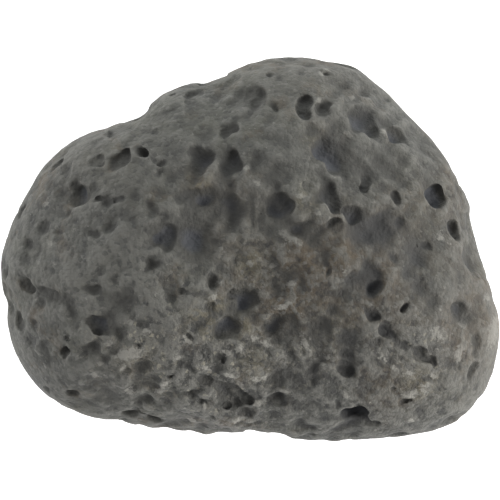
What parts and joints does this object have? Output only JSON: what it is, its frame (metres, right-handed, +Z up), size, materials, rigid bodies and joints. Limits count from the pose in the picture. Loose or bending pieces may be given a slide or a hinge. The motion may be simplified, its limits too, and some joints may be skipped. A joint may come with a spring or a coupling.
{
  "type": "lava rock",
  "caption": "Rounded, tumbled cobble of dark grey vesicular basalt (lava rock), worn smooth between its gas pits, lying on its broad underside.",
  "frame": {"origin": "on the surface the stone rests on, under the middle of its bounding box", "axes": "+X along the stone's longest extent towards its broad end, +Z up, away from the broad underside it rests on"},
  "size_m": [0.0993, 0.077, 0.0449],
  "materials": {
    "lava_rock": "dull, worn, pitted"
  },
  "bodies": {
    "root": {"lava_rock": "lava_rock"}
  },
  "joints": []
}
